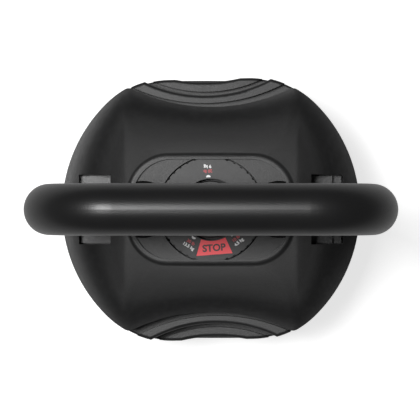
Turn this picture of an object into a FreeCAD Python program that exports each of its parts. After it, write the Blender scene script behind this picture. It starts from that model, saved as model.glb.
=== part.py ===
"""Adjustable kettlebell: a handle with a selector dial that picks up to four weight plates.

Millimetres, +Z up, +X along the handle, +Y towards the back.  The origin is the centre of
the footprint, on the surface that the storage tray's feet stand on.
"""
import FreeCAD, Part
import os
import Sketcher
from math import cos, pi, radians, sin, sqrt
from FreeCAD import Placement, Rotation, Vector

doc = FreeCAD.newDocument("kettlebell")
dims = doc.addObject("Spreadsheet::Sheet", "dims")

SIZES = {
    # Outline that the plates and the tray share
    "body_radius": 111.0,
    "body_flat": 98.8,
    "shoulder_radius": 68.0,
    # Stack: tray, then plates 4, 3, 2 and 1, then the bell
    "foot_height": 2.0,
    "foot_radius": 9.0,
    "foot_place": 72.0,
    "tray_floor": 4.0,
    "tray_wall": 3.0,
    "tray_wall_height": 8.0,
    "tray_play": 1.0,
    "plate_pitch": 19.0,
    "plate_gap": 0.4,
    "plate_wall": 3.0,
    "plate_edge": 1.8,
    "plate_turn": 1.4,
    # Scoops at the front and back of each piece: apex from the centre, and radius
    "shell_apex": 76.0,
    "shell_scoop": 134.0,
    "upper_apex": 85.4,
    "upper_scoop": 105.0,
    "lower_apex": 96.3,
    "lower_scoop": 123.0,
    "groove": 3.6,
    "lip_height": 8.0,
    "lip_edge": 2.6,
    # Iron cores of the plates
    "core_thick": 8.4,
    "core_fit": 0.15,
    "peg_place": 78.0,
    "peg_radius": 8.0,
    "peg_height": 4.0,
    "peg_play": 3.0,
    "peg_boss": 3.0,
    "plate_screw_place": 66.0,
    "plate_screw_radius": 2.0,
    "plate_screw_head": 4.0,
    "plate_screw_head_height": 2.4,
    "plate_screw_bite": 5.0,
    # Lug rings and selector discs
    "ring_radius": 44.0,
    "ring_bore": 33.0,
    "lug_reach": 25.0,
    "lug_angle": 14.0,
    "lug_base": 11.0,
    "lug_thick": 5.0,
    "disc_radius": 31.5,
    "disc_thick": 4.0,
    "disc_drop": 1.0,
    "slot_play": 0.8,
    "slot_angle_play": 4.0,
    "setting_angle": 72.0,
    # Selector shaft
    "shaft_radius": 9.0,
    "shaft_flat": 2.0,
    "running_fit": 0.05,
    "press_fit": 0.02,
    "spacer_wall": 4.0,
    "bush_wall": 5.0,
    "bush_length": 16.0,
    "washer_thick": 1.5,
    "washer_radius": 16.0,
    "end_screw_head": 6.5,
    "end_screw_head_height": 3.4,
    "end_screw_radius": 4.0,
    "end_screw_length": 20.0,
    "hex_key": 2.5,
    # Bell: carrier plate, column, shell
    "carrier_lift": 1.0,
    "carrier_thick": 4.0,
    "column_radius": 28.0,
    "column_flange": 40.0,
    "column_flange_thick": 6.0,
    "shell_inset": 0.6,
    "shell_wall": 2.6,
    "shell_fit": 0.4,
    "rim_height": 21.6,
    "crown_height": 84.0,
    "top_half_x": 60.0,
    "top_half_y": 40.0,
    "top_corner_x": 57.5,
    "top_corner_y": 38.8,
    "top_corner_round": 32.0,
    "ridge_round": 6.0,
    "top_round": 4.0,
    "flank_lean": 15.0,
    "scoop_lean": 15.0,
    "ridge_lean_x": 4.5,
    "ridge_lean_y": 26.0,
    "flare_power": 0.57,
    "rim_flatness": 84.0,
    "rim_overshoot": 6.0,
    "post_x": 47.0,
    "post_y": 62.0,
    "post_radius": 6.0,
    "shell_screw_radius": 2.5,
    "shell_screw_head": 4.5,
    "shell_screw_bite": 12.0,
    # Dial recess
    "recess_ends": 18.7,
    "recess_overlap": 1.1,
    "recess_corner": 28.0,
    "liner_depth": 30.0,
    "liner_skin_gap": 0.2,
    "finger_room": 11.3,
    "scoop_radius": 21.0,
    "scoop_lift": 3.0,
    "collar_width": 3.2,
    "collar_drop": 3.0,
    # Dial and its button
    "dial_radius": 36.7,
    "dial_thick": 8.0,
    "dial_sink": 3.7,
    "dial_play": 1.0,
    "dial_floor_gap": 0.5,
    "dial_hub_radius": 26.0,
    "dial_hub_depth": 10.0,
    "dial_well_depth": 14.0,
    "face_thick": 0.8,
    "face_margin": 1.2,
    "grip_notch": 1.1,
    "grip_count": 40.0,
    "button_radius": 20.3,
    "button_gap": 1.5,
    "button_proud": 1.6,
    "button_skin": 3.0,
    "button_wall": 3.0,
    "button_travel": 3.0,
    "button_edge": 1.0,
    "spring_radius": 8.0,
    "spring_wire": 0.7,
    "spring_turns": 4.0,
    # Detent and stop
    "detent_inset": 3.1,
    "detent_ball": 2.0,
    "detent_gap": 0.1,
    "detent_first": 18.0,
    "detent_depth": 8.0,
    "stop_place": 29.0,
    "stop_pin_radius": 1.5,
    "stop_pin_length": 6.0,
    "stop_groove_depth": 2.0,
    "stop_play": 0.3,
    # Handle
    "handle_radius": 17.5,
    "tube_radius": 14.5,
    "tube_wall": 3.0,
    "handle_half_width": 110.4,
    "handle_rise": 94.0,
    "handle_bend": 45.0,
    "handle_lean": 12.0,
    "handle_hole_play": 0.8,
    "grip_clear": 0.4,
    "foot_inner": 74.0,
    "foot_step": 90.0,
    "foot_outer": 97.0,
    "foot_half_y": 25.0,
    "foot_rise": 16.0,
    "foot_step_rise": 9.6,
    "foot_clear": 0.7,
    "tube_seat": 2.0,
    "cross_pin_radius": 3.5,
    "cross_pin_rise": 10.1,
    "cross_pin_inset": 1.5,
    "foot_bolt_radius": 4.0,
    "foot_bolt_y": 19.5,
    "foot_bolt_bite": 6.4,
}

# Levels and places that follow from the sizes
DERIVED = {
    "tray_top": "foot_height + tray_floor",
    "stack_top": "tray_top + plate_gap + 4 * plate_pitch",
    "rim_level": "stack_top + rim_height",
    "top_level": "rim_level + crown_height",
    "liner_base": "top_level - liner_depth",
    "carrier_top": "stack_top + carrier_lift + carrier_thick",
    "foot_top": "carrier_top + foot_rise",
    "foot_step_top": "carrier_top + foot_step_rise",
    "cross_pin_level": "carrier_top + cross_pin_rise",
    "handle_level": "top_level + handle_rise",
    "recess_half_x": "dial_radius + recess_ends",
    "recess_half_y": "dial_radius - recess_overlap",
    "scoop_place": "dial_radius + finger_room",
    "detent_place": "dial_radius - detent_inset",
}

# Levels and points closer than this count as one, and the boxes round curves are this loose
TOUCH = 0.01
LOOSE = 0.1


def enter_sizes():
    """Put every size in the sheet, one row each, under its own alias."""
    for row, (alias, number) in enumerate(SIZES.items(), start=1):
        dims.set(f"A{row}", alias)
        dims.set(f"B{row}", str(number))
        dims.setAlias(f"B{row}", alias)
    doc.recompute()


def bind(words):
    """Turn an expression in size names into one that reads the sheet."""
    pieces = []
    word = ""
    for letter in words + " ":
        if letter.isalnum() or letter == "_":
            word += letter
            continue
        if word in DERIVED:
            word = f"({bind(DERIVED[word])})"
        elif word in SIZES:
            word = f"dims.{word}"
        pieces += [word, letter]
        word = ""
    return "".join(pieces).strip()


def value(words):
    """The number that an expression in size names stands for."""
    return float(dims.evalExpression(bind(words)))


def set_size(item, **sizes):
    """Bind properties of an object to expressions in size names."""
    for name, words in sizes.items():
        item.setExpression(name, bind(words))


def put(item, x="0", y="0", z="0"):
    """Bind an object's place."""
    for axis, words in (("x", x), ("y", y), ("z", z)):
        if words != "0":
            item.setExpression(f"Placement.Base.{axis}", bind(words))
    return item


# ---------------------------------------------------------------- primitives and booleans

def cylinder(name, radius, height, x="0", y="0", z="0"):
    item = doc.addObject("Part::Cylinder", name)
    set_size(item, Radius=radius, Height=height)
    return put(item, x, y, z)


def box(name, size_x, size_y, height, x="0", y="0", z="0"):
    """A box centred on x and y, standing on z."""
    item = doc.addObject("Part::Box", name)
    set_size(item, Length=size_x, Width=size_y, Height=height)
    return put(item, f"{x} - ({size_x}) / 2", f"{y} - ({size_y}) / 2", z)


def round_block(name, half_x, half_y, corner, height, z):
    """A box about the axis, standing on z, with round upright edges."""
    block = box(f"{name}_square", f"2 * ({half_x})", f"2 * ({half_y})", height, z=z)
    doc.recompute()
    rounded = doc.addObject("Part::Fillet", name)
    rounded.Base = block
    rounded.Edges = [
        (index, value(corner), value(corner))
        for index, edge in enumerate(block.Shape.Edges, start=1)
        if edge.BoundBox.ZLength > TOUCH
    ]
    return rounded


def cone(name, low_radius, high_radius, height, x="0", y="0", z="0"):
    item = doc.addObject("Part::Cone", name)
    set_size(item, Radius1=low_radius, Radius2=high_radius, Height=height)
    return put(item, x, y, z)


def sphere(name, radius, x="0", y="0", z="0"):
    item = doc.addObject("Part::Sphere", name)
    set_size(item, Radius=radius)
    return put(item, x, y, z)


def cut(name, base, *tools):
    """The base less all its tools."""
    tool = tools[0] if len(tools) == 1 else fuse(f"{name}_tools", *tools)
    item = doc.addObject("Part::Cut", name)
    item.Base = base
    item.Tool = tool
    return item


def fuse(name, *members):
    item = doc.addObject("Part::MultiFuse", name)
    item.Shapes = list(members)
    return item


def common(name, *members):
    item = doc.addObject("Part::MultiCommon", name)
    item.Shapes = list(members)
    return item


def group(name, *members):
    """Separate solids that share one sub-part."""
    item = doc.addObject("Part::Compound", name)
    item.Links = list(members)
    return item


def tube(name, outer, inner, height, x="0", y="0", z="0"):
    return cut(
        name,
        cylinder(f"{name}_outside", outer, height, x, y, z),
        cylinder(f"{name}_bore", inner, height, x, y, z),
    )


def feature(name, shape):
    item = doc.addObject("Part::Feature", name)
    item.Shape = shape
    return item


def polar(radius, angle):
    """The x and y expressions of a point at a radius and an angle in degrees."""
    return f"({radius}) * cos(({angle}) * 1deg)", f"({radius}) * sin(({angle}) * 1deg)"


# ---------------------------------------------------------------- bodies and sketches

def new_body(name):
    return doc.addObject("PartDesign::Body", name)


def new_sketch(body, name, z="0"):
    """A sketch on the body's own XY plane, raised to z."""
    sketch = body.newObject("Sketcher::SketchObject", name)
    plane = [f for f in body.Origin.OriginFeatures if f.Role == "XY_Plane"][0]
    sketch.AttachmentSupport = [(plane, "")]
    sketch.MapMode = "FlatFace"
    if z != "0":
        sketch.setExpression("AttachmentOffset.Base.z", bind(z))
    return sketch


def constrain(sketch, words, kind, *where):
    """Add a dimension and bind it to the sheet."""
    index = sketch.addConstraint(Sketcher.Constraint(kind, *where, value(words)))
    sketch.setExpression(f"Constraints[{index}]", bind(words))


def outline(sketch, inset="0"):
    """The body's outline: two flats and two round flanks, joined by tangent shoulders."""
    radius = f"body_radius - ({inset})"
    flat = f"body_flat - ({inset})"
    shoulder = f"shoulder_radius - ({inset})"
    big, level, small = value(radius), value(flat), value(shoulder)
    centre_y = level - small
    centre_x = sqrt((big - small) ** 2 - centre_y ** 2)
    turn = Vector(centre_x, centre_y, 0).getAngle(Vector(1, 0, 0))
    up = Vector(0, 0, 1)

    def arc(x, y, size, start, end):
        return Part.ArcOfCircle(Part.Circle(Vector(x, y, 0), up, size), start, end)

    pieces = [
        Part.LineSegment(Vector(centre_x, level, 0), Vector(-centre_x, level, 0)),
        arc(-centre_x, centre_y, small, pi / 2, pi - turn),
        arc(0, 0, big, pi - turn, pi + turn),
        arc(-centre_x, -centre_y, small, pi + turn, 3 * pi / 2),
        Part.LineSegment(Vector(-centre_x, -level, 0), Vector(centre_x, -level, 0)),
        arc(centre_x, -centre_y, small, 3 * pi / 2, 2 * pi - turn),
        arc(0, 0, big, -turn, turn),
        arc(centre_x, centre_y, small, turn, pi / 2),
    ]
    first = sketch.GeometryCount
    sketch.addGeometry(pieces, False)
    for step in range(8):
        here, after = first + step, first + (step + 1) % 8
        sketch.addConstraint(Sketcher.Constraint("Tangent", here, 2, after, 1))
    for flank in (first + 2, first + 6):
        sketch.addConstraint(Sketcher.Constraint("Coincident", flank, 3, -1, 1))
        constrain(sketch, radius, "Radius", flank)
    for edge in (first + 1, first + 3, first + 5, first + 7):
        constrain(sketch, shoulder, "Radius", edge)
    sketch.addConstraint(Sketcher.Constraint("Horizontal", first))
    sketch.addConstraint(Sketcher.Constraint("Horizontal", first + 4))
    constrain(sketch, flat, "DistanceY", -1, 1, first, 1)
    constrain(sketch, flat, "DistanceY", first + 4, 1, -1, 1)


def pad(body, sketch, length):
    item = body.newObject("PartDesign::Pad", f"{sketch.Name}_pad")
    item.Profile = sketch
    set_size(item, Length=length)
    return item


def prism(name, inset, z, height):
    """A prism of the shared outline, inset all round."""
    body = new_body(name)
    sketch = new_sketch(body, f"{name}_outline", z)
    outline(sketch, inset)
    pad(body, sketch, height)
    return body


def scoops(name, apex, radius, z, height):
    """The two upright cylinders that hollow a piece's front and back."""
    far = f"({apex}) + ({radius})"
    return [
        cylinder(f"{name}_back", radius, height, y=far, z=z),
        cylinder(f"{name}_front", radius, height, y=f"-({far})", z=z),
    ]


# ---------------------------------------------------------------- heights

def plate_base(number):
    """Underside of a plate.  Plate 1 is the top one."""
    return f"(tray_top + plate_gap + {4 - number} * plate_pitch)"


PLATE_THICK = "(plate_pitch - plate_gap)"
BELL_BASE = "stack_top"
CARRIER_BASE = f"({BELL_BASE} + carrier_lift)"
CARRIER_TOP = "carrier_top"
DIAL_TOP = "(top_level - dial_sink)"
DIAL_BASE = f"({DIAL_TOP} - dial_thick)"
HUB_BASE = f"({DIAL_BASE} - dial_hub_depth)"
WELL_BASE = f"({DIAL_TOP} - dial_well_depth)"
LINER_TOP = "(top_level - shell_wall - liner_skin_gap)"
SHAFT_BASE = f"({plate_base(4)} + lug_base - disc_drop - disc_thick)"
BUTTON_TOP = f"({DIAL_TOP} + button_proud)"
SCOOPS = {1: ("upper_apex", "upper_scoop"), 2: ("lower_apex", "lower_scoop")}
LIPS = {
    1: ("shell_apex + groove", "shell_scoop - groove"),
    2: ("upper_apex + groove", "upper_scoop - groove"),
}
PLATE_INSET = {1: "0", 2: "0", 3: "0", 4: "(tray_wall + tray_play)"}


# ---------------------------------------------------------------- tray and plates

def storage_tray():
    """A shallow dish that holds the plates left behind, with a round well in its floor."""
    dish = prism("tray_outside", "0", "foot_height", "tray_floor + tray_wall_height")
    hollow = prism("tray_hollow", "tray_wall", "tray_top", "tray_wall_height + 1")
    pegs = [
        cylinder(f"tray_peg_{side}", "peg_radius", "plate_gap + peg_height",
                 x=f"{sign}peg_place", z="tray_top")
        for side, sign in (("left", "-"), ("right", ""))
    ]
    return fuse("storage_tray", cut("tray_dish", dish, hollow), *pegs)


def tray_feet():
    feet = []
    for index, angle in enumerate((45, 135, 225, 315)):
        x, y = polar("foot_place", str(angle))
        feet.append(cylinder(f"foot_{index}", "foot_radius", "foot_height", x, y))
    return group("tray_feet", *feet)


def plate_cover(number):
    """The moulded casing of a plate: a tub open downwards, with a lip round the piece above."""
    name = f"plate_{number}"
    base = plate_base(number)
    inset = PLATE_INSET[number]
    lip = "lip_height" if number in LIPS else "0"
    casing = prism(f"{name}_casing", inset, base, f"{PLATE_THICK} + {lip}")
    tools = [cylinder(f"{name}_bore", "ring_radius", f"{PLATE_THICK} + lip_height", z=base)]
    if number in SCOOPS:
        tools += scoops(f"{name}_scoop", *SCOOPS[number], base, f"{PLATE_THICK} + lip_height")
    if number in LIPS:
        tools.append(lip_room(number))
    shape = cut(f"{name}_rough", casing, *tools)
    edged = edge_round(f"{name}_edged", shape, number)
    room = core_outline(number, f"{name}_room", "0", "0")
    pegs, sockets, bosses = [], [], []
    for side, sign in (("left", "-"), ("right", "")):
        x = f"{sign}peg_place"
        pegs.append(cylinder(f"{name}_peg_{side}", "peg_radius", "plate_gap + peg_height",
                             x=x, z=f"{base} + {PLATE_THICK}"))
        bosses.append(cylinder(f"{name}_boss_{side}", "peg_radius + peg_play + peg_boss",
                               "core_thick + 1", x=x, z=base))
        sockets.append(cylinder(f"{name}_socket_{side}", "peg_radius + peg_play",
                                "plate_gap + peg_height + 1", x=x, z=base))
    hollowed = cut(f"{name}_hollowed", edged, room)
    solid = fuse(f"{name}_solid", hollowed, *bosses, *pegs)
    cover = cut(f"plate_cover_{number}", solid, *sockets, *screw_holes(number, "plate_screw_radius"))
    return turned(cover, number)


def turned(item, number):
    """Plates 1 and 2 sit turned by their play in the piece that locks them."""
    if number in LIPS:
        item.Placement = Placement(Vector(), Rotation(Vector(0, 0, 1), value("plate_turn")))
    return item


def lip_room(number):
    """What is cleared above a plate, so that only its front and back lips stand up."""
    apex, radius = LIPS[number]
    name = f"plate_{number}_lip_room"
    level = f"{plate_base(number)} + {PLATE_THICK}"
    block = box(f"{name}_block", "3 * body_radius", "3 * body_radius", "lip_height + 1", z=level)
    return cut(name, block, *scoops(f"{name}_edge", apex, radius, level, "lip_height + 1"))


def edge_round(name, item, number):
    """Round the outer edges of a plate's casing."""
    doc.recompute()
    shape = item.Shape
    base = value(plate_base(number))
    top = base + value(PLATE_THICK)
    crest = top + value("lip_height")
    limit = value("ring_radius + plate_wall")
    chosen = []
    for index, edge in enumerate(shape.Edges, start=1):
        box_of = edge.BoundBox
        if box_of.ZLength > TOUCH:
            continue
        level = box_of.ZMin
        middle = edge.valueAt((edge.FirstParameter + edge.LastParameter) / 2)
        if Vector(middle.x, middle.y, 0).Length < limit or not on_outside(shape, middle):
            continue
        if abs(level - crest) < TOUCH:
            chosen.append((index, value("lip_edge"), value("lip_edge")))
        elif min(abs(level - base), abs(level - top)) < TOUCH:
            chosen.append((index, value("plate_edge"), value("plate_edge")))
    rounded = doc.addObject("Part::Fillet", name)
    rounded.Base = item
    rounded.Edges = chosen
    return rounded


def on_outside(shape, point):
    """Whether nothing of the shape lies further out than this point."""
    outward = Vector(point.x, point.y, 0).normalize()
    nearby = [point + outward + Vector(0, 0, step) for step in (-0.6, 0.6)]
    return not any(shape.isInside(place, TOUCH, True) for place in nearby)


def core_outline(number, name, fit, inner_fit):
    """The space for a plate's iron core, less its fits."""
    base = plate_base(number)
    wall = f"plate_wall + ({fit})"
    block = prism(f"{name}_block", f"({PLATE_INSET[number]}) + {wall}", base, "core_thick")
    tools = [cylinder(f"{name}_middle", f"ring_radius + plate_wall + ({inner_fit})",
                      "core_thick", z=base)]
    if number in SCOOPS:
        apex, radius = SCOOPS[number]
        tools += scoops(f"{name}_scoop", f"({apex}) - ({wall})", f"({radius}) + ({wall})",
                        base, "core_thick")
    for side, sign in (("left", "-"), ("right", "")):
        tools.append(cylinder(f"{name}_peg_{side}",
                              f"peg_radius + peg_play + peg_boss + ({inner_fit})",
                              "core_thick", x=f"{sign}peg_place", z=base))
    return cut(name, block, *tools)


def screw_places():
    return [polar("plate_screw_place", str(angle)) for angle in (52, 128, 232, 308)]


def screw_holes(number, radius):
    return [
        cylinder(f"plate_{number}_hole_{radius[:11]}_{index}", radius,
                 "core_thick + plate_screw_bite", x, y, plate_base(number))
        for index, (x, y) in enumerate(screw_places())
    ]


def plate_core(number):
    """The iron slab inside a plate."""
    name = f"core_{number}"
    slab = core_outline(number, f"{name}_slab", "core_fit", "core_fit")
    holes = []
    for index, (x, y) in enumerate(screw_places()):
        holes.append(cylinder(f"{name}_hole_{index}", "plate_screw_radius + core_fit",
                              "core_thick", x, y, plate_base(number)))
        holes.append(cone(f"{name}_sink_{index}", "plate_screw_head + core_fit",
                          "plate_screw_radius + core_fit", "plate_screw_head_height",
                          x, y, plate_base(number)))
    return turned(cut(f"plate_core_{number}", slab, *holes), number)


def plate_screws(number):
    """Countersunk screws that hold a core in its casing from below."""
    screws = []
    for index, (x, y) in enumerate(screw_places()):
        name = f"screw_{number}_{index}"
        head = cone(f"{name}_head", "plate_screw_head", "plate_screw_radius",
                    "plate_screw_head_height", x, y, plate_base(number))
        shank = cylinder(f"{name}_shank", "plate_screw_radius - press_fit",
                         "core_thick + plate_screw_bite", x, y, plate_base(number))
        screws.append(fuse(name, head, shank))
    return turned(group(f"plate_screws_{number}", *screws), number)


def plate_ring(number):
    """The steel ring in a plate's middle, with three lugs for its selector disc to carry."""
    name = f"ring_{number}"
    base = plate_base(number)
    ring = tube(f"{name}_wall", "ring_radius - press_fit", "ring_bore", PLATE_THICK, z=base)
    lug_band = tube(f"{name}_band", "ring_bore + 1", "lug_reach", "lug_thick",
                    z=f"{base} + lug_base")
    sectors = [
        sector(f"{name}_sector_{index}", "lug_angle", "ring_bore + 2", "lug_thick",
               str(120 * index), f"{base} + lug_base")
        for index in range(3)
    ]
    lugs = common(f"{name}_lugs", lug_band, fuse(f"{name}_sectors", *sectors))
    return fuse(f"plate_ring_{number}", ring, lugs)


def sector(name, angle, radius, height, middle, z):
    """A wedge of a cylinder, centred on an angle."""
    item = cylinder(name, radius, height, z=z)
    set_size(item, Angle=angle)
    turn = value(middle) - value(angle) / 2
    item.Placement = Placement(Vector(0, 0, value(z)), Rotation(Vector(0, 0, 1), turn))
    return item


# ---------------------------------------------------------------- selector

def selector_disc(number):
    """A disc with teeth under its plate's lugs, and slots where the plate is left behind.

    Setting 2 is the one that the disc rests in: plates 1 and 2 are carried.
    """
    name = f"selector_disc_{number}"
    base = f"({plate_base(number)} + lug_base - disc_drop - disc_thick)"
    blank = tube(f"{name}_blank", "disc_radius", "shaft_radius + press_fit", "disc_thick", z=base)
    slots = []
    for setting in range(number):
        for lug in range(3):
            middle = 120 * lug - (setting - 2) * value("setting_angle")
            slots.append(sector(f"{name}_slot_{setting}_{lug}", "lug_angle + slot_angle_play",
                                "disc_radius + 1", "disc_thick", str(middle), base))
    floor = cylinder(f"{name}_floor", "lug_reach - slot_play", "disc_thick", z=base)
    cutters = cut(f"{name}_cutters", fuse(f"{name}_wedges", *slots), floor)
    return cut(name, blank, cutters)


def selector_shaft():
    length = f"{WELL_BASE} - {SHAFT_BASE}"
    rod = cylinder("shaft_rod", "shaft_radius", length, z=SHAFT_BASE)
    hole = cylinder("shaft_thread", "end_screw_radius", "end_screw_length", z=SHAFT_BASE)
    flat = box("shaft_flat_cut", "shaft_flat", "3 * shaft_radius", f"{WELL_BASE} - {HUB_BASE}",
               x="shaft_radius - shaft_flat / 2", z=HUB_BASE)
    return cut("selector_shaft", rod, hole, flat)


def disc_spacers():
    """Sleeves on the shaft that keep the discs apart."""
    sleeves = []
    for number in (4, 3, 2):
        z = f"({plate_base(number)} + lug_base - disc_drop)"
        sleeves.append(tube(f"spacer_{number}", "shaft_radius + spacer_wall",
                            "shaft_radius + press_fit", "plate_pitch - disc_thick", z=z))
    last = f"({plate_base(1)} + lug_base - disc_drop)"
    sleeves.append(tube("spacer_1", "shaft_radius + spacer_wall", "shaft_radius + press_fit",
                        f"{CARRIER_BASE} - running_fit * 4 - {last}", z=last))
    return group("disc_spacers", *sleeves)


def end_washer():
    return tube("end_washer", "washer_radius", "end_screw_radius + press_fit", "washer_thick",
                z=f"{SHAFT_BASE} - washer_thick")


def end_screw():
    """The socket screw that holds the discs on the shaft."""
    head_base = f"{SHAFT_BASE} - washer_thick - end_screw_head_height"
    head = cylinder("end_screw_cap", "end_screw_head", "end_screw_head_height", z=head_base)
    shank = cylinder("end_screw_shank", "end_screw_radius - press_fit",
                     "washer_thick + end_screw_length - 1", z=f"{SHAFT_BASE} - washer_thick")
    key = doc.addObject("Part::Prism", "end_screw_key")
    key.Polygon = 6
    set_size(key, Circumradius="hex_key", Height="end_screw_head_height - 1")
    put(key, z=head_base)
    return cut("end_screw", fuse("end_screw_body", head, shank), key)


def lower_bush():
    return tube("lower_bush", "shaft_radius + bush_wall", "shaft_radius + running_fit",
                "bush_length", z=CARRIER_BASE)


def upper_bush():
    return tube("upper_bush", "shaft_radius + bush_wall", "shaft_radius + running_fit",
                f"{HUB_BASE} - dial_floor_gap - liner_base", z="liner_base")


# ---------------------------------------------------------------- bell

def carrier_plate():
    """The steel plate that closes the shell and carries the handle, column and bush."""
    inset = "(shell_inset + shell_wall + shell_fit)"
    blank = prism("carrier_blank", inset, CARRIER_BASE, "carrier_thick")
    tools = scoops("carrier_scoop", f"shell_apex - {inset}", f"shell_scoop + {inset}",
                   CARRIER_BASE, "carrier_thick")
    tools.append(cylinder("carrier_bore", "shaft_radius + bush_wall + press_fit",
                          "carrier_thick", z=CARRIER_BASE))
    tools += [
        cylinder(f"carrier_hole_{index}", "shell_screw_radius + press_fit", "carrier_thick",
                 x, y, CARRIER_BASE)
        for index, (x, y) in enumerate(post_places())
    ]
    tools += [
        cylinder(f"carrier_foot_hole_{index}", "foot_bolt_radius + press_fit", "carrier_thick",
                 x, y, CARRIER_BASE)
        for index, (x, y) in enumerate(foot_bolt_places())
    ]
    for side, sign in (("left", "-"), ("right", "")):
        tools.append(cylinder(f"carrier_socket_{side}", "peg_radius + peg_play", "carrier_thick",
                              x=f"{sign}peg_place", z=CARRIER_BASE))
    return cut("carrier_plate", blank, *tools)


def core_column():
    """The cast-iron column between the carrier and the dial's liner."""
    height = f"liner_base - {CARRIER_TOP}"
    column = cylinder("column_stem", "column_radius", height, z=CARRIER_TOP)
    flange = cylinder("column_foot", "column_flange", "column_flange_thick", z=CARRIER_TOP)
    bore = cylinder("column_bore", "shaft_radius + bush_wall + press_fit", height, z=CARRIER_TOP)
    return cut("core_column", fuse("column_solid", column, flange), bore)


def post_places():
    return [(f"{a}post_x", f"{b}post_y") for a in ("", "-") for b in ("", "-")]


def foot_bolt_places():
    middle = "(foot_inner + foot_outer) / 2"
    return [(f"{a}{middle}", f"{b}foot_bolt_y") for a in ("", "-") for b in ("", "-")]


def level_curve(turn, inset):
    """The shell's outline part-way down: turn 0 is the top, rim_flatness the rim's level.

    Front, back and flanks lean out, then turn into a nearly level shelf at the rim, and so
    do the ridges between them.  Each outline is four arcs with round corners, large at the
    top and small at the rim.  The shelf runs on past the rim, where the outline's own
    prism trims it.
    """
    past, power = value("rim_overshoot"), value("flare_power")
    last = radians(value("rim_flatness"))
    flare = (1 - cos(turn) ** power) / (1 - cos(last) ** power)
    share = (sin(turn) / sin(last)) ** power
    rim_x, rim_y = rim_corner()

    def spread(top, rim, lean):
        """A half width: a straight lean, and a flare that makes up the rest."""
        start, tilt = value(top), value(lean)
        return start + tilt * share + (rim - start - tilt) * flare - inset

    z = value("top_level") - value("crown_height") * share - inset
    half_x = spread("top_half_x", value("body_radius - shell_inset") + past, "flank_lean")
    half_y = spread("top_half_y", value("shell_apex") + past, "scoop_lean")
    x = spread("top_corner_x", rim_x + past / 3, "ridge_lean_x")
    y = spread("top_corner_y", rim_y + past, "ridge_lean_y")
    top_round, rim_round = value("top_corner_round"), value("ridge_round")
    rounding = rim_round + (top_round - rim_round) * (1 - share) ** 2 - inset
    corner = Vector(x, -y, 0)
    flank = arc_through(corner, Vector(half_x, 0, 0))
    scoop = arc_through(corner, Vector(0, -half_y, 0))
    return rounded_outline(corner, flank, scoop, y > half_y, rounding, z)


def arc_through(end, middle):
    """Centre and radius of the arc that is symmetric about the axis its middle lies on."""
    if abs(middle.x) > abs(middle.y):
        reach, half = middle.x - end.x, end.y
    else:
        reach, half = abs(middle.y) - abs(end.y), end.x
    radius = (reach ** 2 + half ** 2) / (2 * reach)
    centre = middle * (1 - radius / middle.Length)
    return centre, abs(radius)


def rounded_outline(corner, flank, scoop, hollow, rounding, z):
    """Four arcs that meet at a corner and its mirrors, joined by round corners, as one wire."""
    up = Vector(0, 0, 1)
    flank_centre, flank_radius = flank
    scoop_centre, scoop_radius = scoop
    near_flank = Part.Circle(flank_centre, up, flank_radius - rounding)
    reach = scoop_radius + rounding if hollow else scoop_radius - rounding
    near_scoop = Part.Circle(scoop_centre, up, reach)
    meets = [Vector(p.X, p.Y, 0) for p in near_flank.intersect(near_scoop)]
    centre = min(meets, key=lambda p: (p - corner).Length)
    on_flank = centre + (centre - flank_centre).normalize() * rounding
    toward = (scoop_centre - centre).normalize()
    on_scoop = centre + (toward if hollow else -toward) * rounding
    middle = centre + ((on_flank + on_scoop) / 2 - centre).normalize() * rounding
    flank_top = Vector(flank_centre.x + flank_radius, 0, 0)
    if hollow:
        scoop_top = scoop_centre + Vector(0, scoop_radius, 0)
    else:
        scoop_top = scoop_centre - Vector(0, scoop_radius, 0)

    def at(point, flip_x=1, flip_y=1):
        return Vector(point.x * flip_x, point.y * flip_y, z)

    def arc(first, between, last):
        return Part.Arc(first, between, last).toShape()

    edges = []
    for flip_x, flip_y in ((1, 1), (1, -1), (-1, -1), (-1, 1)):
        start, end = (on_scoop, on_flank) if flip_x == flip_y else (on_flank, on_scoop)
        edges.append(arc(at(start, flip_x, flip_y), at(middle, flip_x, flip_y),
                         at(end, flip_x, flip_y)))
        if flip_x == flip_y:
            edges.append(arc(at(on_flank, flip_x, flip_y), at(flank_top, flip_x),
                             at(on_flank, flip_x, -flip_y)))
        else:
            edges.append(arc(at(on_scoop, flip_x, flip_y), at(scoop_top, 1, flip_y),
                             at(on_scoop, -flip_x, flip_y)))
    return Part.Wire(edges)


def rim_corner():
    """Where a front scoop's arc meets the shell's outline."""
    inset = value("shell_inset")
    small = value("shoulder_radius") - inset
    level = value("body_flat") - inset
    big = value("body_radius") - inset
    centre_y = level - small
    centre_x = sqrt((big - small) ** 2 - centre_y ** 2)
    scoop = value("shell_scoop")
    far = value("shell_apex") + scoop
    shoulder = Part.Circle(Vector(centre_x, centre_y, 0), Vector(0, 0, 1), small)
    hollow = Part.Circle(Vector(0, far, 0), Vector(0, 0, 1), scoop)
    meets = [Vector(p.X, p.Y, 0) for p in shoulder.intersect(hollow)]
    corner = max(meets, key=lambda p: p.x)
    return corner.x, corner.y


def flared_form(name, inset):
    """The shell's upper form as one smooth solid, on a block that reaches down to its base."""
    steps = 8
    last = radians(value("rim_flatness"))
    wires = [level_curve(last * step / steps, inset) for step in range(steps + 1)]
    loft = Part.makeLoft(wires, True, False)
    top = value("top_level") - inset
    if inset == 0:
        crown = [edge for edge in loft.Edges if edge.BoundBox.ZMin > top - LOOSE]
        loft = loft.makeFillet(value("top_round"), crown)
    upper = feature(f"{name}_loft", loft)
    side = "2 * (body_radius + rim_overshoot)"
    block = box(f"{name}_block", side, side, f"rim_level - {inset} - {BELL_BASE}", z=BELL_BASE)
    return fuse(f"{name}_form", upper, block)


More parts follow.
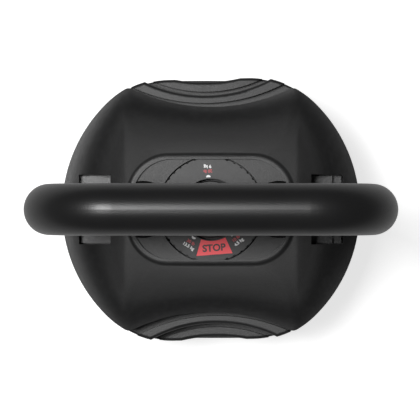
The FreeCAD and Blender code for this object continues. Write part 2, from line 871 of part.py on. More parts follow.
def bell_prism(name, inset):
    """The shell's outline, with its scoops, as an upright prism."""
    height = f"top_level - {BELL_BASE}"
    blank = prism(f"{name}_blank", f"shell_inset + {inset}", BELL_BASE, height)
    sharp = cut(f"{name}_sharp", blank, *scoops(f"{name}_scoop", f"shell_apex - {inset}",
                                                f"shell_scoop + {inset}", BELL_BASE, height))
    doc.recompute()
    size = value(f"ridge_round - {inset}")
    rounded = doc.addObject("Part::Fillet", name)
    rounded.Base = sharp
    rounded.Edges = [
        (index, size, size) for index, edge in enumerate(sharp.Shape.Edges, start=1)
        if at_rim_corner(edge)
    ]
    return rounded


def at_rim_corner(edge):
    """Whether an edge stands upright where a scoop meets the shell's outline."""
    place = Vector(abs(edge.Vertexes[0].X), abs(edge.Vertexes[0].Y), 0)
    upright = edge.BoundBox.ZLength > max(edge.BoundBox.XLength, edge.BoundBox.YLength)
    return upright and (place - Vector(*rim_corner(), 0)).Length < value("ridge_round")


def top_shell():
    """The moulded bell: a rim band, with the flared form above it, hollow inside."""
    outer = common("shell_outer", flared_form("outer", 0), bell_prism("outer_prism", "0"))
    inner = common("shell_inner", flared_form("inner", value("shell_wall")),
                   bell_prism("inner_prism", "shell_wall"))
    posts = [shell_post(index, x, y) for index, (x, y) in enumerate(post_places())]
    hollowed = cut("shell_hollowed", outer, cut("shell_room", inner, *posts))
    tools = [recess_opening()]
    for side in ("left", "right"):
        tools += foot_room(side)
    tools += [
        cylinder(f"shell_pilot_{index}", "shell_screw_radius", "shell_screw_bite",
                 x, y, CARRIER_TOP)
        for index, (x, y) in enumerate(post_places())
    ]
    return cut("top_shell", hollowed, *tools)


def shell_post(index, x, y):
    """A screw post that hangs from the shell down to the carrier."""
    return cylinder(f"shell_post_{index}", "post_radius", f"top_level - {CARRIER_TOP}",
                    x, y, CARRIER_TOP)


def recess_opening():
    """The opening in the shell's top, with round corners."""
    return round_block("recess_opening", "recess_half_x", "recess_half_y", "recess_corner",
                       "3 * shell_wall", "top_level - 2 * shell_wall")


def shell_screws():
    """Screws that come up through the carrier into the shell's posts."""
    screws = []
    for index, (x, y) in enumerate(post_places()):
        name = f"shell_screw_{index}"
        head = cylinder(f"{name}_head", "shell_screw_head", "carrier_lift - plate_gap / 2",
                        x, y, f"{CARRIER_BASE} - carrier_lift + plate_gap / 2")
        shank = cylinder(f"{name}_shank", "shell_screw_radius - press_fit",
                         "carrier_thick + shell_screw_bite - 1", x, y, CARRIER_BASE)
        screws.append(fuse(name, head, shank))
    return group("shell_screws", *screws)


# ---------------------------------------------------------------- dial recess

def recess_liner():
    """The moulded tray under the shell's opening: dial seat, finger scoops and shaft bush."""
    height = f"{LINER_TOP} - liner_base"
    inside = "(shell_wall + shell_fit)"
    rounded = round_block("liner_block", f"top_half_x - {inside}", f"top_half_y - {inside}",
                          "top_corner_round - shell_wall", height, "liner_base")
    floor = f"{DIAL_BASE} - dial_floor_gap"
    seat_radius = "dial_radius + dial_play"
    fingers = [
        sphere(f"finger_scoop_{side}", "scoop_radius", x=f"{sign}scoop_place",
               z="top_level + scoop_lift")
        for side, sign in (("left", "-"), ("right", ""))
    ]
    scooped = cut("liner_scooped", rounded, *fingers)
    collar = common("liner_collar",
                    tube("collar_ring", f"{seat_radius} + collar_width", seat_radius,
                         f"{DIAL_TOP} - collar_drop - liner_base", z="liner_base"),
                    rounded)
    tools = [
        cylinder("dial_seat", seat_radius, "top_level - liner_base", z=floor),
        cylinder("hub_seat", "dial_hub_radius + dial_play", f"{floor} - {HUB_BASE} + 1 + dial_floor_gap",
                 z=f"{HUB_BASE} - dial_floor_gap"),
        cylinder("bush_seat", "shaft_radius + bush_wall + press_fit", height, z="liner_base"),
        cylinder("stop_seat", "stop_pin_radius + press_fit", "stop_pin_length",
                 x="0", y="-stop_place", z=f"{DIAL_BASE} + 1 - stop_pin_length"),
    ]
    for index, (x, y) in enumerate(detent_places()):
        tools.append(cylinder(f"detent_seat_{index}", "detent_ball + detent_gap", "detent_depth + 1",
                              x, y, f"{floor} - detent_depth"))
    return cut("recess_liner", fuse("liner_solid", scooped, collar), *tools)


def detent_places():
    second = "(detent_first + 2 * setting_angle)"
    return [polar("detent_place", angle) for angle in ("detent_first", second)]


def detent_balls():
    balls = []
    for index, (x, y) in enumerate(detent_places()):
        balls.append(sphere(f"detent_ball_{index}", "detent_ball", x, y,
                            f"{DIAL_BASE} - detent_gap - detent_ball"))
    return group("detent_balls", *balls)


def detent_springs():
    springs = []
    for index, (x, y) in enumerate(detent_places()):
        base = f"({DIAL_BASE} - dial_floor_gap - detent_depth)"
        top = f"({DIAL_BASE} - detent_gap - 2 * detent_ball)"
        springs.append(tube(f"detent_spring_{index}", "detent_ball - detent_gap",
                            "detent_ball / 2", f"{top} - {base}", x, y, base))
    return group("detent_springs", *springs)


def stop_pin():
    """The pin that ends the dial's turn."""
    return cylinder("stop_pin", "stop_pin_radius", "stop_pin_length", y="-stop_place",
                    z=f"{DIAL_BASE} + 1 - stop_pin_length")


def dial():
    """The selector dial, with a hub on the shaft, a well for its button and a gripped edge."""
    rim = cylinder("dial_rim", "dial_radius", "dial_thick - face_thick", z=DIAL_BASE)
    ring = tube("dial_edge_ring", "dial_radius", "dial_radius - face_margin", "face_thick",
                z=f"{DIAL_TOP} - face_thick")
    collar = cylinder("dial_well_wall", "button_radius + button_gap + face_margin", "dial_thick",
                      z=DIAL_BASE)
    hub = cylinder("dial_hub", "dial_hub_radius", "dial_hub_depth + 1", z=HUB_BASE)
    well = cylinder("dial_well", "button_radius + button_gap", "dial_well_depth + 1", z=WELL_BASE)
    bore = cylinder("dial_bore_round", "shaft_radius + press_fit", "dial_well_depth", z=HUB_BASE)
    key = box("dial_bore_key", "shaft_flat", "3 * shaft_radius", "dial_well_depth",
              x="shaft_radius + press_fit - shaft_flat / 2", z=HUB_BASE)
    tools = [well, cut("dial_bore", bore, key), stop_groove()]
    for index in range(5):
        x, y = polar("detent_place", f"detent_first + {index} * setting_angle")
        tools.append(sphere(f"dial_dimple_{index}", "detent_ball", x, y,
                            f"{DIAL_BASE} - detent_ball / 2"))
    solid = cut("dial_plain", fuse("dial_solid", rim, ring, collar, hub), *tools)
    notches = []
    for index in range(int(value("grip_count"))):
        x, y = polar("dial_radius + grip_notch / 3", f"{index} * 360 / grip_count")
        notches.append(cylinder(f"grip_notch_{index}", "grip_notch", "dial_thick + 1", x, y,
                                DIAL_BASE))
    return cut("dial", solid, *notches)


def stop_groove():
    """The curved groove that the stop pin runs in, as long as the dial's turn."""
    half_turn = "(2 * setting_angle)"
    outer = "stop_place + stop_pin_radius + stop_play"
    inner = "stop_place - stop_pin_radius - stop_play"
    ring = tube("stop_groove_ring", outer, inner, "stop_groove_depth + 1", z=f"{DIAL_BASE} - 1")
    reach = f"2 * {half_turn} + 2 * (stop_pin_radius + stop_play) / stop_place * 180 / pi"
    wedge = sector("stop_groove_wedge", reach, f"{outer} + 1", "stop_groove_depth + 1", "270",
                   f"{DIAL_BASE} - 1")
    return common("stop_groove", ring, wedge)


def dial_face():
    """The printed ring let into the dial's top."""
    return tube("dial_face", "dial_radius - face_margin",
                "button_radius + button_gap + face_margin", "face_thick",
                z=f"{DIAL_TOP} - face_thick")


def hub_button():
    """The push button in the dial's middle, a cup that opens downwards over its spring."""
    base = f"({WELL_BASE} + button_travel + 1)"
    cup = cylinder("button_cup", "button_radius", f"{BUTTON_TOP} - {base}", z=base)
    hollow = cylinder("button_hollow", "button_radius - button_wall",
                      f"{BUTTON_TOP} - button_skin - {base}", z=base)
    rough = cut("button_rough", cup, hollow)
    doc.recompute()
    crown = [
        (index, value("button_edge"), value("button_edge"))
        for index, edge in enumerate(rough.Shape.Edges, start=1)
        if edge.BoundBox.ZMin > value(BUTTON_TOP) - TOUCH
    ]
    rounded = doc.addObject("Part::Fillet", "hub_button")
    rounded.Base = rough
    rounded.Edges = crown
    return rounded


def button_spring():
    """The coil under the button."""
    wire_radius = value("spring_wire")
    base = value(WELL_BASE) + wire_radius
    top = value(f"{BUTTON_TOP} - button_skin") - wire_radius
    radius = value("spring_radius")
    turns = value("spring_turns")
    path = Part.makeHelix((top - base) / turns, top - base, radius)
    ring = Part.Circle(Vector(radius, 0, 0), Vector(0, 1, 0), wire_radius)
    section = Part.Wire([ring.toShape()])
    coil = Part.Wire(path).makePipeShell([section], True, True)
    spring = feature("button_spring", coil)
    spring.Placement = Placement(Vector(0, 0, base), Rotation())
    return spring


# ---------------------------------------------------------------- handle

def leg_line():
    """The leg's axis on the right: a point low on it, its upward direction, and the bend."""
    bend = value("handle_bend")
    lean = radians(value("handle_lean"))
    centre = Vector(value("handle_half_width") - bend, 0, value("handle_level") - bend)
    upward = Vector(sin(lean), 0, cos(lean))
    joint = centre + Vector(cos(lean), 0, -sin(lean)) * bend
    return centre, joint, upward


def leg_point(level):
    """The point of the right leg's axis at a height."""
    centre, joint, upward = leg_line()
    return joint - upward * ((joint.z - level) / upward.z)


def handle_path(level):
    """The handle's centre line, from leg to leg, starting at a height."""
    centre, joint, upward = leg_line()
    bend = value("handle_bend")
    low = leg_point(level)
    crown = centre + Vector(0, 0, bend)
    diagonal = radians(45 - value("handle_lean") / 2)
    middle = centre + Vector(cos(diagonal), 0, sin(diagonal)) * bend

    def flip(point):
        return Vector(-point.x, point.y, point.z)

    return Part.Wire([
        Part.makeLine(low, joint),
        Part.Arc(joint, middle, crown).toShape(),
        Part.makeLine(crown, flip(crown)),
        Part.Arc(flip(crown), flip(middle), flip(joint)).toShape(),
        Part.makeLine(flip(joint), flip(low)),
    ])


def bar_along(level, radius):
    """A round bar along the handle's centre line."""
    centre, joint, upward = leg_line()
    path = handle_path(level)
    ring = Part.Wire([Part.Circle(leg_point(level), upward, radius).toShape()])
    return path.makePipeShell([ring], True, False)


def foot_tube_level():
    """Height of the tube's end, above the carrier."""
    return value(f"{CARRIER_TOP} + tube_seat") + value("tube_radius") * sin(
        radians(value("handle_lean")))


def handle_tube():
    """The bent steel tube, with a cross hole in each leg."""
    level = foot_tube_level()
    outer = bar_along(level, value("tube_radius"))
    inner = bar_along(level, value("tube_radius") - value("tube_wall"))
    pipe = feature("tube_pipe", outer.cut(inner))
    return cut("handle_tube", pipe, *cross_bars("tube_cross", "cross_pin_radius + press_fit"))


def handle_grip():
    """The textured sleeve moulded over the tube, from foot to foot."""
    lean = radians(value("handle_lean"))
    level = value("foot_top + grip_clear") + value("handle_radius") * sin(lean)
    outer = bar_along(level, value("handle_radius"))
    inner = bar_along(level, value("tube_radius"))
    return feature("handle_grip", outer.cut(inner))


def cross_bars(name, radius):
    """Bars across the legs at the cross pins' height."""
    bars = []
    for side, sign in (("left", -1), ("right", 1)):
        place = leg_point(value("cross_pin_level"))
        item = cylinder(f"{name}_{side}", radius, "2 * (foot_half_y - cross_pin_inset)")
        half = value("foot_half_y - cross_pin_inset")
        item.Placement = Placement(Vector(sign * place.x, half, place.z),
                                   Rotation(Vector(1, 0, 0), 90))
        bars.append(item)
    return bars


def cross_pins():
    return group("cross_pins", *cross_bars("cross_pin", "cross_pin_radius"))


def foot_block(name, sign, spare):
    """A foot's stepped outline, larger by a spare."""
    wide = "(foot_outer - foot_inner)"
    tall = "(foot_step - foot_inner)"
    low = box(f"{name}_low", f"{wide} + 2 * {spare}", f"2 * (foot_half_y + {spare})",
              f"foot_step_top - {CARRIER_TOP}", x=f"{sign}(foot_inner + foot_outer) / 2",
              z=CARRIER_TOP)
    high = box(f"{name}_high", f"{tall} + 2 * {spare}", f"2 * (foot_half_y + {spare})",
               f"foot_top - {CARRIER_TOP}", x=f"{sign}(foot_inner + foot_step) / 2",
               z=CARRIER_TOP)
    return fuse(name, low, high)


def leg_bar(name, sign, radius):
    """A straight bar along a leg's axis, through the foot and the shell."""
    centre, joint, upward = leg_line()
    low = leg_point(value(CARRIER_TOP) + value("tube_seat"))
    low = Vector(sign * low.x, 0, low.z)
    direction = Vector(sign * upward.x, 0, upward.z)
    bar = Part.makeCylinder(value(radius), value("crown_height"), low, direction)
    return feature(name, bar)


def foot_room(side):
    """Openings in the shell for a foot and its leg."""
    sign = "-" if side == "left" else ""
    factor = -1 if side == "left" else 1
    wide = "(foot_outer - foot_inner) + 2 * foot_clear"
    opening = box(f"foot_opening_{side}", wide, "2 * (foot_half_y + foot_clear)",
                  f"top_level - {CARRIER_TOP}", x=f"{sign}(foot_inner + foot_outer) / 2",
                  z=CARRIER_TOP)
    leg = leg_bar(f"leg_opening_{side}", factor, "handle_radius + handle_hole_play")
    return [opening, leg]


def handle_feet():
    """The cast sockets, one on each side, that take the handle's legs."""
    feet = []
    for side, sign, factor in (("left", "-", -1), ("right", "", 1)):
        name = f"handle_foot_{side}"
        block = foot_block(f"{name}_block", sign, "0")
        socket = leg_bar(f"{name}_socket", factor, "tube_radius + running_fit")
        pin = cross_bars(f"{name}_pin", "cross_pin_radius + press_fit")[0 if factor < 0 else 1]
        bolts = [
            cylinder(f"{name}_bolt_{index}", "foot_bolt_radius", "foot_bolt_bite", x, y, CARRIER_TOP)
            for index, (x, y) in enumerate(foot_bolt_places())
        ]
        feet.append(cut(name, block, socket, pin, *bolts))
    return group("handle_feet", *feet)


def foot_bolts():
    """Bolts that hold the feet to the carrier from below."""
    bolts = []
    for index, (x, y) in enumerate(foot_bolt_places()):
        bolts.append(cylinder(f"foot_bolt_{index}", "foot_bolt_radius - press_fit",
                              "carrier_thick + foot_bolt_bite - 1", x, y, CARRIER_BASE))
    return group("foot_bolts", *bolts)


# ---------------------------------------------------------------- the whole

def build():
    """Make every sub-part and return them."""
    pieces = [storage_tray(), tray_feet()]
    for number in (4, 3, 2, 1):
        pieces += [plate_cover(number), plate_core(number), plate_ring(number),
                   plate_screws(number), selector_disc(number)]
    pieces += [
        selector_shaft(), disc_spacers(), end_washer(), end_screw(), lower_bush(), upper_bush(),
        carrier_plate(), core_column(), top_shell(), shell_screws(),
        recess_liner(), detent_balls(), detent_springs(), stop_pin(),
        dial(), dial_face(), hub_button(), button_spring(),
        handle_tube(), handle_grip(), cross_pins(), handle_feet(), foot_bolts(),
    ]
    for piece in pieces:
        piece.Label = piece.Name
    return pieces


def check(pieces):
    """Stop unless every object and every sub-part's shape came out whole."""
    failed = [o.Name for o in doc.Objects if {"Invalid", "Error"} & set(o.State)]
    if failed:
        raise RuntimeError(f"failed objects: {failed}")
    for piece in pieces:
        if piece.Shape.isNull() or not piece.Shape.isValid():
            raise RuntimeError(f"bad shape: {piece.Name}")


def write(pieces):
    os.makedirs("parts", exist_ok=True)
    for piece in pieces:
        piece.Shape.exportStep(f"parts/{piece.Label}.step")
        print(f"{piece.Label}: {len(piece.Shape.Solids)} solids, {piece.Shape.Volume:.0f} mm3")


enter_sizes()
sub_parts = build()
doc.recompute()
check(sub_parts)
write(sub_parts)
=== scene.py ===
"""Looks for the adjustable kettlebell: finishes, dial print, floor, light and camera."""
import bpy
from math import cos, pi, radians, sin
from mathutils import Matrix, Vector


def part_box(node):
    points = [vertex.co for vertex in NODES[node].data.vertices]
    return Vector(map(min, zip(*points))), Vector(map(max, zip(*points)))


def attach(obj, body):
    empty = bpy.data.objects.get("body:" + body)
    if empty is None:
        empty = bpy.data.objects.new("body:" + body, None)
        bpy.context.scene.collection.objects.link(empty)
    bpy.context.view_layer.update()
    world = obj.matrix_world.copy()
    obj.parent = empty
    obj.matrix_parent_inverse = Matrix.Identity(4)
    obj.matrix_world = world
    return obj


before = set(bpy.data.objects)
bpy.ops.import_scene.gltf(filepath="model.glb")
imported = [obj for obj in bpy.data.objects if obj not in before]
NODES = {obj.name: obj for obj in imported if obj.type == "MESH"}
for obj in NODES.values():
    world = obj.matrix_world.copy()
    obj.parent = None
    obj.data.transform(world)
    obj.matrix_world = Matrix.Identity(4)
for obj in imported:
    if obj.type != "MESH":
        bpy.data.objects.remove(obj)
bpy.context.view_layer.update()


# ---------------------------------------------------------------- materials


class Shader:
    """A node material under construction."""

    def __init__(self, name):
        self.material = bpy.data.materials.new(name)
        self.material.use_nodes = True
        self.nodes = self.material.node_tree.nodes
        self.links = self.material.node_tree.links
        self.surface = self.nodes["Principled BSDF"]
        self.place = self.nodes.new("ShaderNodeTexCoord")

    def add(self, kind, **settings):
        node = self.nodes.new(kind)
        for name, setting in settings.items():
            if name in node.inputs:
                node.inputs[name].default_value = setting
            else:
                setattr(node, name, setting)
        return node

    def link(self, source, target):
        self.links.new(source, target)

    def noise(self, scale, detail=4.0, roughness=0.55):
        node = self.add("ShaderNodeTexNoise", Scale=scale, Detail=detail, Roughness=roughness)
        self.link(self.place.outputs["Object"], node.inputs["Vector"])
        return node.outputs["Fac"]

    def cells(self, scale, feature="F1"):
        node = self.add("ShaderNodeTexVoronoi", Scale=scale, feature=feature)
        self.link(self.place.outputs["Object"], node.inputs["Vector"])
        return node.outputs["Distance"]

    def spread(self, value, low, high, out_low, out_high):
        """Map a value's range on to another."""
        node = self.nodes.new("ShaderNodeMapRange")
        for name, number in (("From Min", low), ("From Max", high),
                             ("To Min", out_low), ("To Max", out_high)):
            node.inputs[name].default_value = number
        self.link(value, node.inputs["Value"])
        return node.outputs["Result"]

    def patches(self, scale, low, high, detail=4.0, most=1.0):
        """Soft-edged patches of noise, 0 outside them and most within."""
        return self.spread(self.noise(scale, detail), low, high, 0.0, most)

    def mix(self, factor, first, second):
        """Blend two colours, each an output or a plain colour."""
        node = self.nodes.new("ShaderNodeMix")
        node.data_type = "RGBA"
        self.link(factor, node.inputs["Factor"])
        for socket, colour in ((node.inputs[6], first), (node.inputs[7], second)):
            if isinstance(colour, tuple):
                socket.default_value = (*colour, 1.0)
            else:
                self.link(colour, socket)
        return node.outputs[2]

    def total(self, *parts):
        """Add heights together, each an output and its weight."""
        result = None
        for output, weight in parts:
            scaled = self.nodes.new("ShaderNodeMath")
            scaled.operation = "MULTIPLY_ADD"
            scaled.inputs[1].default_value = weight
            self.link(output, scaled.inputs[0])
            if result is None:
                scaled.inputs[2].default_value = 0.0
            else:
                self.link(result, scaled.inputs[2])
            result = scaled.outputs[0]
        return result

    def bump(self, height, strength, distance):
        node = self.add("ShaderNodeBump", Strength=strength, Distance=distance)
        self.link(height, node.inputs["Height"])
        self.link(node.outputs["Normal"], self.surface.inputs["Normal"])

    def finish(self, colour, rough, **fixed):
        for socket, source in (("Base Color", colour), ("Roughness", rough)):
            self.link(source, self.surface.inputs[socket])
        for name, number in fixed.items():
            self.surface.inputs[name.replace("_", " ")].default_value = number
        return self.material


# Noise scales count features per metre, and bump depths are in metres.
CLOUD_SCALE = 14.0
RUB_SCALE = 220.0
RIPPLE_SCALE = 60.0
RIPPLE_SHARE = 0.35
WORN_GAIN, WORN_LIFT = 2.0, 0.004


def moulded(name, dark, pale, rough, grain=1500.0, depth=0.00022, strength=0.5):
    """Black moulded plastic with a fine spark-eroded grain and paler rubbed patches."""
    shader = Shader(name)
    cloud = shader.patches(CLOUD_SCALE, 0.35, 0.65, 3.0)
    fleck = shader.noise(grain, 2.0, 0.6)
    body = shader.mix(cloud, dark, pale)
    worn = tuple(WORN_GAIN * channel + WORN_LIFT for channel in pale)
    rubbed = shader.patches(RUB_SCALE, 0.45, 0.7, 3.0, 0.55)
    colour = shader.mix(rubbed, body, shader.mix(fleck, body, worn))
    ripple = shader.noise(RIPPLE_SCALE)
    shader.bump(shader.total((fleck, 1.0), (ripple, RIPPLE_SHARE)), strength, depth)
    roughness = shader.spread(fleck, 0.3, 0.7, rough - 0.06, rough + 0.08)
    return shader.finish(colour, roughness)


PEBBLE_SCALE = 1150.0
LUMP_SCALE = 420.0
GRIP_DARK, GRIP_PALE = (0.0060, 0.0060, 0.0062), (0.0085, 0.0085, 0.0088)
# Colour of the painted highlight on each pebble's raised top.
PEBBLE_HIGHLIGHT = (0.014, 0.014, 0.0145)


def pebbled(name):
    """The grip's rubbery coat: close rounded pebbles, each with a painted highlight on its raised
    top.
    """
    shader = Shader(name)
    pebbles = shader.spread(shader.cells(PEBBLE_SCALE), 0.0, 0.75, 1.0, 0.0)
    lumps = shader.noise(LUMP_SCALE, 3.0, 0.6)
    body = shader.mix(shader.patches(18.0, 0.35, 0.65), GRIP_DARK, GRIP_PALE)
    # Painted highlight: each pebble's raised top is made paler, so the hollows between pebbles
    # stay darker as painted shade.
    tops = shader.spread(pebbles, 0.4, 1.0, 0.0, 0.6)
    colour = shader.mix(tops, body, PEBBLE_HIGHLIGHT)
    shader.bump(shader.total((pebbles, 0.8), (lumps, 0.6)), 0.35, 0.00012)
    roughness = shader.spread(pebbles, 0.0, 1.0, 0.38, 0.30)
    return shader.finish(colour, roughness)


MARK_SCALE = 90.0
FINE_MARK_SCALE = 810.0


def metal(name, dark, pale, rough):
    """Bare or plated metal with fine marks."""
    shader = Shader(name)
    marks = shader.noise(MARK_SCALE, 6.0, 0.65)
    colour = shader.mix(shader.spread(marks, 0.3, 0.7, 0.0, 1.0), dark, pale)
    shader.bump(shader.noise(FINE_MARK_SCALE, 3.0), 0.25, 0.0001)
    roughness = shader.spread(marks, 0.3, 0.7, rough - 0.08, rough + 0.1)
    return shader.finish(colour, roughness, Metallic=1.0)


SAND_SCALE = 700.0
PIT_SCALE = 120.0
IRON_DARK, IRON_PALE = (0.030, 0.029, 0.028), (0.065, 0.062, 0.060)


def cast(name):
    """Sand-cast iron under a thin black coat."""
    shader = Shader(name)
    sand = shader.noise(SAND_SCALE, 5.0, 0.7)
    colour = shader.mix(shader.patches(30.0, 0.4, 0.62), IRON_DARK, IRON_PALE)
    shader.bump(shader.total((sand, 1.0), (shader.noise(PIT_SCALE), 0.8)), 0.9, 0.0004)
    return shader.finish(colour, shader.spread(sand, 0.3, 0.7, 0.55, 0.8), Metallic=0.6)


INK_SCALE = 900.0


def print_ink(name, colour, paler):
    """Pad-printed ink, slightly mottled."""
    shader = Shader(name)
    mottle = shader.noise(INK_SCALE, 3.0)
    blended = shader.mix(mottle, colour, paler)
    shader.bump(mottle, 0.15, 0.00005)
    return shader.finish(blended, shader.spread(mottle, 0.3, 0.7, 0.42, 0.55))


# Darkest and palest shades of each black plastic.
SHELL_SHADES = (0.0060, 0.0060, 0.0062), (0.0085, 0.0085, 0.0088)
PLATE_SHADES = (0.0060, 0.0060, 0.0062), (0.0080, 0.0080, 0.0083)
LINER_SHADES = (0.0045, 0.0045, 0.0047), (0.0065, 0.0065, 0.0067)
DIAL_SHADES = (0.0065, 0.0065, 0.0068), (0.0090, 0.0090, 0.0093)
RUBBER_SHADES = (0.014, 0.014, 0.014), (0.020, 0.020, 0.020)
COAT_SHADES = (0.014, 0.014, 0.015), (0.020, 0.020, 0.021)

FINISHES = {
    "shell": moulded("shell_plastic", *SHELL_SHADES, 0.45),
    "plates": moulded("plate_plastic", *PLATE_SHADES, 0.46),
    "liner": moulded("liner_plastic", *LINER_SHADES, 0.46),
    "dial": moulded("dial_plastic", *DIAL_SHADES, 0.46, grain=2200.0, depth=0.0001, strength=0.3),
    "tray": moulded("tray_plastic", *PLATE_SHADES, 0.52),
    "grip": pebbled("grip_rubber"),
    "feet": moulded("foot_rubber", *RUBBER_SHADES, 0.75, grain=900.0),
    "coat": moulded("powder_coat", *COAT_SHADES, 0.38, grain=1100.0, depth=0.0002),
    "iron": cast("cast_iron"),
    "steel": metal("machined_steel", (0.42, 0.42, 0.43), (0.58, 0.58, 0.59), 0.32),
    "zinc": metal("zinc_plate", (0.50, 0.50, 0.48), (0.68, 0.67, 0.62), 0.36),
    "bronze": metal("sintered_bronze", (0.42, 0.27, 0.12), (0.55, 0.38, 0.18), 0.42),
    "white": print_ink("white_ink", (0.78, 0.78, 0.78), (0.86, 0.86, 0.86)),
    "red": print_ink("red_ink", (0.93, 0.055, 0.075), (0.98, 0.085, 0.10)),
    "dim_red": print_ink("dim_red_ink", (0.42, 0.045, 0.055), (0.52, 0.06, 0.07)),
    "black": print_ink("black_ink", (0.02, 0.012, 0.012), (0.03, 0.018, 0.018)),
}

PLATES = 4
WHERE = {
    "top_shell": "shell", "recess_liner": "liner", "storage_tray": "tray", "tray_feet": "feet",
    "handle_grip": "grip", "handle_tube": "coat", "handle_feet": "coat", "carrier_plate": "coat",
    "core_column": "iron", "dial": "dial", "dial_face": "dial", "hub_button": "dial",
    "disc_spacers": "liner", "lower_bush": "bronze", "upper_bush": "bronze",
    "selector_shaft": "steel", "button_spring": "steel", "detent_balls": "steel",
    "detent_springs": "steel", "stop_pin": "steel", "cross_pins": "zinc", "foot_bolts": "zinc",
    "shell_screws": "zinc", "end_washer": "zinc", "end_screw": "zinc",
}
for number in range(1, PLATES + 1):
    WHERE.update({
        f"plate_cover_{number}": "plates", f"plate_core_{number}": "iron",
        f"plate_ring_{number}": "steel", f"plate_screws_{number}": "zinc",
        f"selector_disc_{number}": "steel",
    })


def dress_nodes():
    """Give every CAD node its finish."""
    for node, key in WHERE.items():
        item = NODES[node]
        item.data.materials.clear()
        item.data.materials.append(FINISHES[key])


# Widths in metres of the rounding on each moulding's sharp edges.
EDGES = {
    "top_shell": 0.0007, "dial": 0.0004, "recess_liner": 0.0005,
    "dial_face": 0.0001, "storage_tray": 0.0008, "handle_feet": 0.0007,
}
SHARP_ANGLE = radians(38)


def soften_edges():
    """Round each moulded node's sharp edges."""
    for node, width in EDGES.items():
        bevel = NODES[node].modifiers.new("soft_edges", "BEVEL")
        bevel.width = width
        bevel.segments = 3
        bevel.limit_method = "ANGLE"
        bevel.angle_limit = SHARP_ANGLE
        bevel.harden_normals = False
        bevel.use_clamp_overlap = True


dress_nodes()
soften_edges()

# ---------------------------------------------------------------- dial print

# Degrees that the dial stands turned from its exact setting, as in the photograph.
PRINT_TURN = 4.5
PRINT_LIFT = 0.00012
PRINT_THICK = 0.00012
FACE_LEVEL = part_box("dial_face")[1][2]

FIELD_INNER, FIELD_OUTER = 0.0223, 0.0320
FIELD_INNER_HALF, FIELD_OUTER_HALF = 0.0086, 0.0128
STOP_SIZE, STOP_RADIUS, STOP_BOLD = 0.0068, 0.0274, 0.00022
LETTER_SIZE = 0.0031
KILOS_RADIUS, KILOS_BOLD = 0.0304, 0.00012
POUNDS_RADIUS, POUNDS_BOLD = 0.0272, 0.00010
POINTER_RADIUS, POINTER_SIZE = 0.0236, 0.0016
ARC_STEPS = 12
POINTER_STEPS = 14

# Kilograms, pounds and place round the dial, in steps from the front.
SETTING_STEP = 36.0
SETTINGS = [
    ("4.5 kg", "10 lb", 1), ("6.75 kg", "15 lb", 3), ("9 kg", "20 lb", 5),
    ("11.25 kg", "25 lb", 7), ("13.5 kg", "30 lb", 9),
]


def print_turn(angle):
    """The turn in radians of a print, from its angle anticlockwise from the front."""
    return radians(angle + PRINT_TURN)


def add_print(name, data, matrix, ink):
    """Add a printed piece in its finish and fix it to the selector."""
    item = bpy.data.objects.new(name, data)
    bpy.context.scene.collection.objects.link(item)
    item.matrix_world = matrix
    item.data.materials.append(FINISHES[ink])
    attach(item, "selector")


def add_text(name, words, size, angle, radius, ink, bold):
    """Print words with their tops towards the dial's centre and their middle at the radius."""
    curve = bpy.data.curves.new(name, "FONT")
    curve.body = words
    curve.size = size
    curve.align_x = "CENTER"
    curve.align_y = "CENTER"
    curve.extrude = PRINT_THICK / 2
    curve.offset = bold
    curve.resolution_u = 6
    turn = print_turn(angle)
    place = Vector((radius * sin(turn), -radius * cos(turn), FACE_LEVEL + PRINT_LIFT))
    add_print(name, curve, Matrix.Translation(place) @ Matrix.Rotation(turn, 4, "Z"), ink)


def add_flat(name, outline, angle, level, ink):
    """Print a flat shape, whose outline runs clockwise seen from above."""
    count = len(outline)
    top = [(x, y, level) for x, y in outline]
    under = [(x, y, FACE_LEVEL - PRINT_THICK) for x, y in outline]
    sides = [(i, (i + 1) % count, count + (i + 1) % count, count + i) for i in range(count)]
    caps = [tuple(reversed(range(count))), tuple(range(count, 2 * count))]
    mesh = bpy.data.meshes.new(name)
    mesh.from_pydata(top + under, [], caps + sides)
    mesh.transform(Matrix.Rotation(print_turn(angle), 4, "Z"))
    add_print(name, mesh, Matrix.Identity(4), ink)


def stop_field():
    """The stop field's outline: curved towards the centre, straight at the rim."""
    across = [FIELD_INNER_HALF * (2 * i / ARC_STEPS - 1) for i in range(ARC_STEPS + 1)]
    inner = [(x, -(FIELD_INNER ** 2 - x ** 2) ** 0.5) for x in across]
    return inner + [(FIELD_OUTER_HALF, -FIELD_OUTER), (-FIELD_OUTER_HALF, -FIELD_OUTER)]


def pointer():
    """A half-round pointer's outline, with its flat side towards the centre."""
    turns = [pi * i / POINTER_STEPS for i in range(POINTER_STEPS + 1)]
    middle = POINTER_SIZE / 2 - POINTER_RADIUS
    return [(POINTER_SIZE * cos(turn), middle - POINTER_SIZE * sin(turn)) for turn in turns]


def print_dial():
    """Print the weights round the dial, and a stop field between the last and the first."""
    add_flat("stop_field", stop_field(), 0.0, FACE_LEVEL + PRINT_LIFT / 2, "red")
    add_text("stop_word", "STOP", STOP_SIZE, 0.0, STOP_RADIUS, "black", STOP_BOLD)
    for kilos, pounds, place in SETTINGS:
        angle = SETTING_STEP * place
        tag = pounds.split()[0]
        add_text(f"kilos_{tag}", kilos, LETTER_SIZE, angle, KILOS_RADIUS, "white", KILOS_BOLD)
        add_text(f"pounds_{tag}", pounds, LETTER_SIZE, angle, POUNDS_RADIUS, "dim_red",
                 POUNDS_BOLD)
        add_flat(f"pointer_{tag}", pointer(), angle, FACE_LEVEL + PRINT_LIFT, "white")


print_dial()

# ---------------------------------------------------------------- floor, light, camera


FLOOR_SIZE = 12.0
FLOOR_SHADE = 0.60
FLOOR_LIFT = 0.72
WORLD_STRENGTH = 0.10
LAMP_PLACE, LAMP_AIM = (-0.55, 0.20, 2.3), (0, 0, 0.15)
LAMP_SIZE, LAMP_WATTS = 0.6, 48
CAMERA_HEIGHT = 1.80
CAMERA_LENS = 196.0
CAMERA_SHIFT = -0.0022, -0.0014


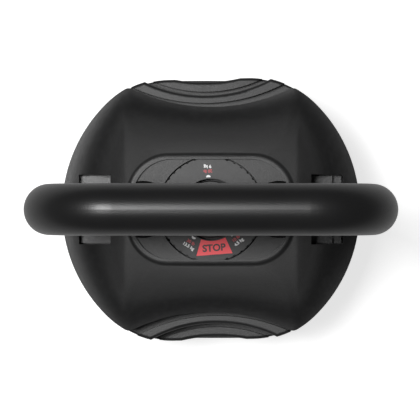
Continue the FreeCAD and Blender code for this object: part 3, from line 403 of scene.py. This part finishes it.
def add_floor():
    """A floor that the camera sees as white and that keeps the object's shadow."""
    bpy.ops.mesh.primitive_plane_add(size=FLOOR_SIZE, location=(0, 0, 0))
    floor = bpy.context.object
    floor.name = "studio_floor"
    material = bpy.data.materials.new("studio_floor")
    material.use_nodes = True
    surface = material.node_tree.nodes["Principled BSDF"]
    surface.inputs["Base Color"].default_value = (FLOOR_SHADE, FLOOR_SHADE, FLOOR_SHADE, 1)
    surface.inputs["Roughness"].default_value = 0.9
    surface.inputs["Emission Color"].default_value = (1, 1, 1, 1)
    path = material.node_tree.nodes.new("ShaderNodeLightPath")
    lift = material.node_tree.nodes.new("ShaderNodeMath")
    lift.operation = "MULTIPLY"
    lift.inputs[1].default_value = FLOOR_LIFT
    material.node_tree.links.new(path.outputs["Is Camera Ray"], lift.inputs[0])
    material.node_tree.links.new(lift.outputs[0], surface.inputs["Emission Strength"])
    floor.data.materials.append(material)


def add_lamp():
    """A square softbox above the left end of the handle."""
    light = bpy.data.lights.new("key", "AREA")
    light.size = LAMP_SIZE
    light.energy = LAMP_WATTS
    lamp = bpy.data.objects.new("key", light)
    lamp.location = LAMP_PLACE
    towards = Vector(LAMP_AIM) - Vector(LAMP_PLACE)
    lamp.rotation_euler = towards.to_track_quat("-Z", "Y").to_euler()
    bpy.context.scene.collection.objects.link(lamp)


def add_world():
    """Even white light from all round."""
    world = bpy.data.worlds.new("studio")
    world.use_nodes = True
    backdrop = world.node_tree.nodes["Background"]
    backdrop.inputs["Color"].default_value = (1, 1, 1, 1)
    backdrop.inputs["Strength"].default_value = WORLD_STRENGTH
    bpy.context.scene.world = world


def add_camera():
    """Straight above the object, far off, with the handle across the frame."""
    camera = bpy.data.cameras.new("camera")
    camera.sensor_width = 36.0
    camera.lens = CAMERA_LENS
    camera.clip_end = 20
    camera.shift_x, camera.shift_y = CAMERA_SHIFT
    eye = bpy.data.objects.new("camera", camera)
    eye.location = (0, 0, CAMERA_HEIGHT)
    bpy.context.scene.collection.objects.link(eye)
    bpy.context.scene.camera = eye


add_floor()
add_world()
add_lamp()
add_camera()
bpy.context.scene.view_settings.view_transform = "Standard"
